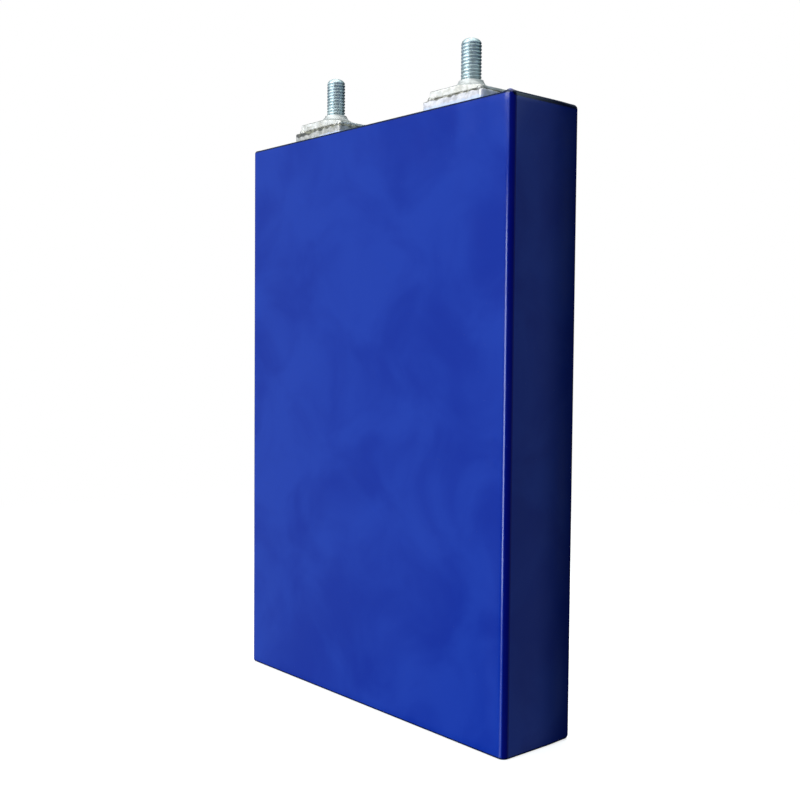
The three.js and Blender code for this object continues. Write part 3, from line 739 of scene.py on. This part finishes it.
def film_material():
    """Glossy royal-blue shrink film, with dents, scratches and dust.

    Its colour carries a painted reflection in soft blotches, and painted shade: darker on the turned
    edges, on the upright corners and towards the back of the +X side, where the film lies in shade."""
    s = Surface("blue_shrink_film", roughness=0.15, IOR=1.48, Specular_IOR_Level=0.44)
    edge_shade_full = FILM_EDGE_SHADE_START / 2
    x = s.axis("X")
    y = s.axis("Y")
    z = s.axis("Z")
    # Painted reflection: soft blotches of lighter and darker blue stand in for the mottled reflections of
    # the uneven film.
    clouds = s.noise(26 * MM, detail=4, distortion=0.6)
    color = s.mix(s.spread(clouds, 0.34, 0.66), (0.001, 0.0225, 0.325), (0.007, 0.039, 0.385))
    # Painted shade: the +X side is darkened a little all over, and more towards its back edge.
    from_back = s.spread(y, -3 * MM, film_high.y)
    on_side = s.spread(x, film_high.x - 0.6 * MM, film_high.x - 0.1 * MM)
    shaded = s.math("MULTIPLY", on_side, s.math("ADD", s.math("MULTIPLY", from_back, 0.6), 0.07))
    color = s.mix(shaded, color, (0.001, 0.004, 0.05))
    from_middle_x = s.math("ABSOLUTE", x, 0.0)
    from_middle_y = s.math("ABSOLUTE", y, 0.0)
    # Painted shade: a dark blue band down the rounding of each upright corner.
    past_x = s.math("SUBTRACT", from_middle_x, film_high.x - FILM_CORNER_RADIUS)
    past_y = s.math("SUBTRACT", from_middle_y, film_high.y - FILM_CORNER_RADIUS)
    round_x = s.spread(past_x, 0.95 * MM, 1.35 * MM)
    round_y = s.spread(past_y, 0.05 * MM, 0.3 * MM)
    corner_shade = s.math("MULTIPLY", round_x, round_y)
    color = s.mix(s.math("MULTIPLY", corner_shade, 0.93), color, (0.0, 0.001, 0.135))
    # Painted shade: a dark line along the turned edges at the top and the base, set lower on the +X side.
    drop = s.spread(on_side, 0.0, 1.0, 0.0, 0.75 * MM)
    lowered = s.math("ADD", z, drop)
    top_edge_shade = s.spread(lowered, film_high.z - FILM_EDGE_SHADE_START, film_high.z - edge_shade_full)
    bottom_edge_shade = s.spread(z, edge_shade_full, FILM_EDGE_SHADE_START, 1.0, 0.0)
    on_rim = s.math(
        "MAXIMUM",
        s.spread(from_middle_x, film_high.x - FILM_EDGE_SHADE_START, film_high.x - 0.3 * MM),
        s.spread(from_middle_y, film_high.y - FILM_EDGE_SHADE_START, film_high.y - 0.3 * MM))
    edge_shade = s.math("MULTIPLY", s.math("MAXIMUM", top_edge_shade, bottom_edge_shade), on_rim)
    color = s.mix(s.math("MULTIPLY", edge_shade, 0.95), color, (0.0005, 0.002, 0.02))
    upright = s.noise(0.35 * MM, detail=2, place=s.stretched(1, 1, 0.03))
    level = s.noise(0.35 * MM, detail=2, place=s.stretched(0.04, 0.04, 1))
    scratches = s.math("MAXIMUM", s.spread(upright, 0.74, 0.8), s.spread(level, 0.75, 0.81))
    dust = s.spread(s.cells(4 * MM), 0.02, 0.045, 1.0, 0.0)
    color = s.mix(s.math("MULTIPLY", dust, 0.25), color, (0.1, 0.13, 0.3))
    blotches = s.noise(9 * MM, detail=5)
    roughness = s.spread(blotches, 0.3, 0.7, 0.12, 0.18)
    roughness = s.math("ADD", roughness, s.math("MULTIPLY", scratches, 0.1))
    across = s.math("DIVIDE", y, film_high.y)
    bow = s.math("SUBTRACT", 1.0, s.math("MULTIPLY", across, across))
    normal = s.bump(bow, FILM_SIDE_BOW, 1.0)
    normal = s.bump(s.noise(2.4 * MM, detail=2), 0.02 * MM, 0.35, normal)
    normal = s.bump(scratches, 0.004 * MM, 0.4, normal)
    for dent in FILM_DENTS:
        normal = s.bump(s.near(dent, FILM_DENT_REACH), FILM_DENT_DEPTH, 0.9, normal)
    return s.finish(color, roughness, normal)


def sheet_material():
    """Satin blue sheet with a fine grain and faint stains."""
    s = Surface("blue_insulating_sheet", roughness=0.5, IOR=1.5)
    stains = s.noise(12 * MM, detail=5, distortion=0.4)
    color = s.mix(s.spread(stains, 0.3, 0.72), (0.02, 0.055, 0.3), (0.035, 0.09, 0.42))
    scuffs = s.spread(s.noise(0.6 * MM, detail=4, place=s.stretched(0.2, 1, 1)), 0.62, 0.78)
    color = s.mix(s.math("MULTIPLY", scuffs, 0.35), color, (0.12, 0.18, 0.45))
    roughness = s.spread(stains, 0.3, 0.7, 0.4, 0.58)
    normal = s.bump(s.noise(0.25 * MM, detail=3), 0.02 * MM, 0.5)
    return s.finish(color, roughness, normal)


def clear_film_material():
    s = Surface("clear_vent_film", roughness=0.2, IOR=1.45, Transmission_Weight=0.7)
    haze = s.noise(3 * MM, detail=4)
    color = s.mix(s.spread(haze, 0.3, 0.7), (0.66, 0.72, 0.8), (0.8, 0.85, 0.9))
    roughness = s.spread(haze, 0.3, 0.7, 0.14, 0.3)
    normal = s.bump(s.noise(2.5 * MM, detail=2), 0.05 * MM, 0.4)
    return s.finish(color, roughness, normal)


def rolled_aluminium():
    """Rolled sheet, with fine lines along X and darker stains."""
    s = Surface("rolled_aluminium", roughness=0.36, metallic=1.0)
    lines = s.noise(0.3 * MM, detail=4, place=s.stretched(0.02, 1, 1))
    stains = s.noise(7 * MM, detail=5, distortion=0.5)
    color = s.mix(s.spread(lines, 0.3, 0.7), (0.7, 0.71, 0.73), (0.86, 0.865, 0.87))
    color = s.mix(s.spread(stains, 0.55, 0.8, 0.0, 0.35), color, (0.5, 0.5, 0.5))
    roughness = s.spread(stains, 0.3, 0.7, 0.28, 0.46)
    normal = s.bump(lines, 0.01 * MM, 0.5)
    return s.finish(color, roughness, normal)


def base_material(plate_bottom, plate_top):
    """Bright satin aluminium with painted shade: greyer on the boss, dark along the plate's top edge, and
    brown soot with shade close to the weld.
    """
    s = Surface("satin_aluminium", roughness=0.5, metallic=0.45)
    patches = s.noise(2.2 * MM, detail=4, distortion=0.6)
    color = s.mix(s.spread(patches, 0.3, 0.7), (0.62, 0.59, 0.52), (0.82, 0.81, 0.77))
    # Brown soot near the weld, mixed with painted shade where the foot sits in the groove under the
    # plate.
    ragged = s.math("MULTIPLY", s.math("SUBTRACT", s.noise(1.5 * MM, detail=3), 0.5), 1.4 * MM)
    level = s.math("ADD", s.axis("Z"), ragged)
    soot = s.spread(level, plate_bottom - 0.3 * MM, plate_bottom + 0.2 * MM, 0.85, 0.0)
    color = s.mix(soot, color, (0.1, 0.092, 0.07))
    # Painted shade: a dark grey line along the plate's top edge.
    plate_rim_shade = s.spread(s.axis("Z"), plate_top - 0.4 * MM, plate_top - 0.15 * MM, 0.0, 0.85)
    color = s.mix(plate_rim_shade, color, (0.27, 0.27, 0.26))
    # Painted shade: the boss is greyed in patches.
    on_boss = s.spread(s.axis("Z"), plate_top, plate_top + 0.3 * MM)
    boss_shade = s.math("MULTIPLY", on_boss, s.spread(patches, 0.35, 0.6, 0.5, 1.0))
    color = s.mix(boss_shade, color, (0.6, 0.61, 0.59))
    roughness = s.spread(patches, 0.3, 0.7, 0.42, 0.58)
    grains = s.bump(s.noise(0.3 * MM, detail=3), 0.03 * MM, 0.5)
    normal = s.bump(s.noise(1.1 * MM, detail=3), 0.07 * MM, 0.5, grains)
    return s.finish(color, roughness, normal)


def block_material(polarity, top):
    """Sawn aluminium: brown soot mixed with painted shade under the weld, and a brighter lower edge."""
    s = Surface(polarity + "_block_aluminium", roughness=0.45, metallic=0.3)
    patches = s.noise(1.6 * MM, detail=4, distortion=0.6)
    dull = (0.4, 0.39, 0.34) if polarity == "negative" else (0.52, 0.5, 0.5)
    clean = (0.6, 0.58, 0.53) if polarity == "negative" else (0.78, 0.76, 0.77)
    color = s.mix(s.spread(patches, 0.3, 0.68), dull, clean)
    centre_x = terminal_centre(polarity)[0]
    # Soot and painted shade: a ragged dark band along the top, under the stud plate, wider on the left of
    # the negative block.
    ragged = s.math("MULTIPLY", s.math("SUBTRACT", s.noise(1.9 * MM, detail=4), 0.5), 2.0 * MM)
    level = s.math("ADD", s.axis("Z"), ragged)
    if polarity == "negative":
        left = s.spread(s.axis("X"), centre_x - 9 * MM, centre_x + 6 * MM, 1.1 * MM, 0.3 * MM)
        level = s.math("ADD", level, left)
    depth = s.spread(level, top - 0.45 * MM, top, 0.0, 0.85)
    tones = s.spread(s.noise(2.6 * MM, detail=3), 0.42, 0.58)
    soot = s.mix(tones, (0.02, 0.02, 0.016), (0.2, 0.19, 0.12))
    color = s.mix(depth, color, soot)
    bright = s.spread(level, top - 2.2 * MM, top - 1.6 * MM, 1.0, 0.0)
    color = s.mix(bright, color, (0.6, 0.67, 0.82))
    roughness = s.spread(patches, 0.3, 0.7, 0.38, 0.56)
    normal = s.bump(s.noise(0.35 * MM, detail=3), 0.05 * MM, 0.6)
    return s.finish(color, roughness, normal)


def weld_material(name, drops=()):
    """Weld metal: brown and sooty, and near-white round each drop, a painted highlight on bright weld
    metal.
    """
    s = Surface(name + "_weld_metal", roughness=0.4, metallic=0.6)
    soot = s.noise(2.2 * MM, detail=4, distortion=0.5)
    color = s.mix(s.spread(soot, 0.45, 0.62), (0.09, 0.083, 0.062), (0.55, 0.52, 0.45))
    # Painted highlight: near-white colour round each drop.
    for drop in drops:
        color = s.mix(s.near(drop, 1.7 * MM), color, (0.95, 0.95, 0.95))
    roughness = s.spread(soot, 0.35, 0.65, 0.6, 0.3)
    normal = s.bump(s.noise(0.3 * MM, detail=3), 0.05 * MM, 0.7)
    return s.finish(color, roughness, normal)


def stud_material():
    """Bluish zinc plating, with a thin dull film over the metal."""
    s = Surface("zinc_plated_steel", roughness=0.42, metallic=0.7)
    clouds = s.noise(1.8 * MM, detail=4, distortion=0.5)
    color = s.mix(s.spread(clouds, 0.3, 0.7), (0.44, 0.54, 0.55), (0.56, 0.66, 0.67))
    roughness = s.spread(clouds, 0.3, 0.7, 0.36, 0.48)
    normal = s.bump(s.noise(0.3 * MM, detail=3), 0.02 * MM, 0.5)
    return s.finish(color, roughness, normal)


def copper_material():
    s = Surface("bare_copper", roughness=0.34, metallic=1.0)
    tarnish = s.noise(4 * MM, detail=5, distortion=0.6)
    color = s.mix(s.spread(tarnish, 0.35, 0.72), (0.62, 0.25, 0.12), (0.4, 0.14, 0.07))
    roughness = s.spread(tarnish, 0.3, 0.7, 0.26, 0.44)
    normal = s.bump(s.noise(0.3 * MM, detail=3, place=s.stretched(0.1, 1, 1)), 0.01 * MM, 0.5)
    return s.finish(color, roughness, normal)


def plastic_material():
    s = Surface("black_moulded_plastic", roughness=0.5, IOR=1.5)
    dust = s.noise(3 * MM, detail=5)
    color = s.mix(s.spread(dust, 0.45, 0.8), (0.014, 0.015, 0.017), (0.045, 0.045, 0.048))
    roughness = s.spread(dust, 0.3, 0.7, 0.42, 0.6)
    normal = s.bump(s.noise(0.2 * MM, detail=3), 0.03 * MM, 0.6)
    return s.finish(color, roughness, normal)


def seal_material():
    s = Surface("natural_fluoroplastic", roughness=0.5, IOR=1.4)
    clouds = s.noise(2 * MM, detail=3)
    color = s.mix(s.spread(clouds, 0.3, 0.7), (0.66, 0.65, 0.58), (0.76, 0.75, 0.69))
    normal = s.bump(s.noise(0.4 * MM, detail=2), 0.02 * MM, 0.4)
    return s.finish(color, s.spread(clouds, 0.3, 0.7, 0.42, 0.58), normal)


def bag_material():
    s = Surface("pale_blue_bag", roughness=0.38, IOR=1.5)
    creases = s.noise(8 * MM, detail=5, distortion=1.2)
    # The colour follows the crease height: painted shade in the valleys, paler on the ridges.
    color = s.mix(s.spread(creases, 0.3, 0.7), (0.36, 0.5, 0.62), (0.46, 0.6, 0.72))
    normal = s.bump(creases, 0.3 * MM, 0.4)
    return s.finish(color, s.spread(creases, 0.3, 0.7, 0.3, 0.46), normal)


def roll_material():
    """Wound electrode and separator, with the edges of its turns as fine lines."""
    s = Surface("wound_electrode", roughness=0.75)
    turns = s.noise(0.3 * MM, detail=2, place=s.stretched(0.02, 1, 0.02))
    color = s.mix(s.spread(turns, 0.35, 0.65), (0.02, 0.021, 0.023), (0.07, 0.072, 0.075))
    normal = s.bump(turns, 0.05 * MM, 0.7)
    return s.finish(color, s.spread(turns, 0.3, 0.7, 0.65, 0.85), normal)


def shared_materials():
    """One material for each material slot of the record."""
    return {
        "sheet": sheet_material(),
        "clear_film": clear_film_material(),
        "aluminium": rolled_aluminium(),
        "copper": copper_material(),
        "stud_steel": stud_material(),
        "insulator": plastic_material(),
        "seal": seal_material(),
        "bag": bag_material(),
        "roll": roll_material(),
        "film": film_material(),
    }


def dress_cad_nodes(kinds):
    """Gives each CAD node the material of its slot, shown or not."""
    for subpart in frame["record"]["subparts"]:
        node = frame["nodes"][subpart["node"]]
        node.data.materials.clear()
        node.data.materials.append(kinds[subpart["material_slot"]])


# ---- Stage ---------------------------------------------------------------------------------------

def add_camera():
    data = bpy.data.cameras.new("camera")
    data.lens = CAMERA_LENS
    data.sensor_width = 36
    data.clip_start = 0.01
    data.clip_end = 20
    camera = bpy.data.objects.new("camera", data)
    bpy.context.scene.collection.objects.link(camera)
    back = Vector((
        math.sin(CAMERA_AZIMUTH) * math.cos(CAMERA_ELEVATION),
        -math.cos(CAMERA_AZIMUTH) * math.cos(CAMERA_ELEVATION),
        math.sin(CAMERA_ELEVATION),
    ))
    level_right = Vector((math.cos(CAMERA_AZIMUTH), math.sin(CAMERA_AZIMUTH), 0))
    level_up = back.cross(level_right)
    right = math.cos(CAMERA_ROLL) * level_right + math.sin(CAMERA_ROLL) * level_up
    up = math.cos(CAMERA_ROLL) * level_up - math.sin(CAMERA_ROLL) * level_right
    turn = Matrix((right, up, back)).transposed().to_4x4()
    camera.matrix_world = Matrix.Translation(CAMERA_PLACE) @ turn
    bpy.context.scene.camera = camera


def add_softbox(
        name, place, size, power, target=(0, 0, 0.09), matt=True, gloss=True, color=(1, 1, 1)):
    """A rectangular lamp, size wide and high, that faces the target."""
    data = bpy.data.lights.new(name, "AREA")
    data.shape = "RECTANGLE"
    data.size, data.size_y = size
    data.energy = power
    data.color = color
    lamp = bpy.data.objects.new(name, data)
    bpy.context.scene.collection.objects.link(lamp)
    lamp.location = place
    aim = Vector(target) - Vector(place)
    lamp.rotation_euler = aim.to_track_quat("-Z", "Y").to_euler()
    lamp.visible_camera = False
    lamp.visible_diffuse = matt
    lamp.visible_glossy = gloss


def add_lights():
    add_softbox("key", (-0.02, -1.2, 0.04), (0.32, 0.53), 5.4, color=(0.8, 0.87, 1.0))
    add_softbox("key_foot", (-0.02, -1.2, -0.4), (0.32, 0.34), 0.8, color=(0.8, 0.87, 1.0))
    add_softbox("key_high", (-0.35, -1.2, 0.87), (1.2, 0.7), 14, matt=False)
    add_softbox("front_fill", (-0.25, -1.2, 0.4), (0.95, 0.9), 8, gloss=False)
    add_softbox("top", (0.0, -0.1, 1.3), (1.2, 1.2), 12)
    add_softbox("back", (-0.8, 0.9, 1.1), (0.8, 0.8), 14, gloss=False)


# Pale patches that gloss reflects: direction, inner and outer angle in degrees, value, and how far
# the patch is flattened
GLOSS_PATCHES = (
    ((-0.84, -0.5, 0.12), 17, 36, 0.42),
    ((0.86, 0.5, 0.0), 16, 26, 0.24, 0.3),
    ((0.7, 0.5, 0.5), 11, 19, 1.5),
    ((0, 0, 1), 30, 70, 0.35),
    ((-0.25, -0.62, 0.75), 16, 30, 1.1),
    ((-0.25, -0.7, -0.67), 14, 26, 0.9),
)
GLOSS_FLOOR = 0.02


def add_world():
    """White to the camera, dim and even to matt surfaces, and dark with pale patches to gloss."""
    world = bpy.data.worlds.new("studio")
    bpy.context.scene.world = world
    world.use_nodes = True
    world.cycles.sampling_method = "NONE"
    tree = world.node_tree
    tree.nodes.clear()

    def add(kind, **settings):
        node = tree.nodes.new(kind)
        for key, value in settings.items():
            setattr(node, key, value)
        return node

    direction = add("ShaderNodeTexCoord").outputs["Generated"]

    def patch(towards, inner, outer, value, flattened=1.0):
        """Light of the given value round a direction, fading between two angles from it.

        With flattened under 1, the patch reaches further up and down.
        """
        squashed = add("ShaderNodeVectorMath", operation="MULTIPLY")
        tree.links.new(direction, squashed.inputs[0])
        squashed.inputs[1].default_value = (1, 1, flattened)
        unit = add("ShaderNodeVectorMath", operation="NORMALIZE")
        tree.links.new(squashed.outputs[0], unit.inputs[0])
        dot = add("ShaderNodeVectorMath", operation="DOT_PRODUCT")
        tree.links.new(unit.outputs[0], dot.inputs[0])
        dot.inputs[1].default_value = Vector(towards).normalized()
        ramp = add("ShaderNodeMapRange", interpolation_type="SMOOTHSTEP")
        tree.links.new(dot.outputs["Value"], ramp.inputs["Value"])
        ramp.inputs["From Min"].default_value = math.cos(math.radians(outer))
        ramp.inputs["From Max"].default_value = math.cos(math.radians(inner))
        ramp.inputs["To Min"].default_value = 0.0
        ramp.inputs["To Max"].default_value = value
        return ramp.outputs["Result"]

    def total(first, second):
        node = add("ShaderNodeMath", operation="ADD")
        for socket, value in zip(node.inputs, (first, second)):
            if isinstance(value, float):
                socket.default_value = value
            else:
                tree.links.new(value, socket)
        return node.outputs[0]

    strength = patch(*GLOSS_PATCHES[0])
    for settings in GLOSS_PATCHES[1:]:
        strength = total(strength, patch(*settings))
    gloss = add("ShaderNodeBackground")
    tree.links.new(total(strength, GLOSS_FLOOR), gloss.inputs["Strength"])
    matt = add("ShaderNodeBackground")
    tree.links.new(total(patch((0, 0, 1), 60, 110, 0.2), 0.1), matt.inputs["Strength"])
    white = add("ShaderNodeBackground")
    white.inputs["Strength"].default_value = 1.0
    white.inputs["Color"].default_value = (1, 1, 1, 1)
    for node in (gloss, matt):
        node.inputs["Color"].default_value = (0.7, 0.93, 1, 1)
    path = add("ShaderNodeLightPath")
    inner = add("ShaderNodeMixShader")
    outer = add("ShaderNodeMixShader")
    output = add("ShaderNodeOutputWorld")
    tree.links.new(path.outputs["Is Glossy Ray"], inner.inputs[0])
    tree.links.new(matt.outputs[0], inner.inputs[1])
    tree.links.new(gloss.outputs[0], inner.inputs[2])
    tree.links.new(path.outputs["Is Camera Ray"], outer.inputs[0])
    tree.links.new(inner.outputs[0], outer.inputs[1])
    tree.links.new(white.outputs[0], outer.inputs[2])
    tree.links.new(outer.outputs[0], output.inputs["Surface"])


def floor_material():
    """Pale and faintly shaded near the cell, plain white further out, and clear from below."""
    s = Surface("pale_floor", roughness=0.9, Specular_IOR_Level=0.0)
    s.shader.inputs["Base Color"].default_value = (0.55, 0.55, 0.56, 1)
    s.shader.inputs["Emission Color"].default_value = (1, 1, 1, 1)
    s.shader.inputs["Emission Strength"].default_value = 0.72
    length = s.add("ShaderNodeVectorMath", operation="LENGTH")
    s.link(s.place, length.inputs[0])
    white = s.add("ShaderNodeEmission")
    clear = s.add("ShaderNodeBsdfTransparent")
    far = s.add("ShaderNodeMixShader")
    under = s.add("ShaderNodeMixShader")
    s.link(s.spread(length.outputs["Value"], 0.12, 0.5), far.inputs[0])
    s.link(s.shader.outputs["BSDF"], far.inputs[1])
    s.link(white.outputs[0], far.inputs[2])
    s.link(s.add("ShaderNodeNewGeometry").outputs["Backfacing"], under.inputs[0])
    s.link(far.outputs[0], under.inputs[1])
    s.link(clear.outputs[0], under.inputs[2])
    output = next(node for node in s.tree.nodes if node.type == "OUTPUT_MATERIAL")
    s.link(under.outputs[0], output.inputs["Surface"])
    return s.material


def add_floor():
    reach = 4.0
    corners = [(-reach, -reach, 0), (reach, -reach, 0), (reach, reach, 0), (-reach, reach, 0)]
    mesh = bpy.data.meshes.new("floor")
    mesh.from_pydata(corners, [], [(0, 1, 2, 3)])
    mesh.materials.append(floor_material())
    floor = bpy.data.objects.new("floor", mesh)
    bpy.context.scene.collection.objects.link(floor)
    floor.visible_glossy = False
    floor.visible_diffuse = False
    floor.visible_shadow = False


# ---- The whole scene -----------------------------------------------------------------------------

bpy.context.scene.view_settings.view_transform = "Standard"
add_camera()
add_world()
add_lights()
add_floor()
kinds = shared_materials()
dress_cad_nodes(kinds)
shrink_film(kinds["film"])
for seed, polarity in enumerate(POLARITIES, start=1):
    outer_insulator(polarity, kinds["insulator"])
    terminal_block(polarity, seed)
    stud_base(polarity, seed + 20)
    stud(polarity, kinds["stud_steel"])
    foot_weld(polarity, seed + 40)
fill_cap_weld()

bpy.context.view_layer.update()
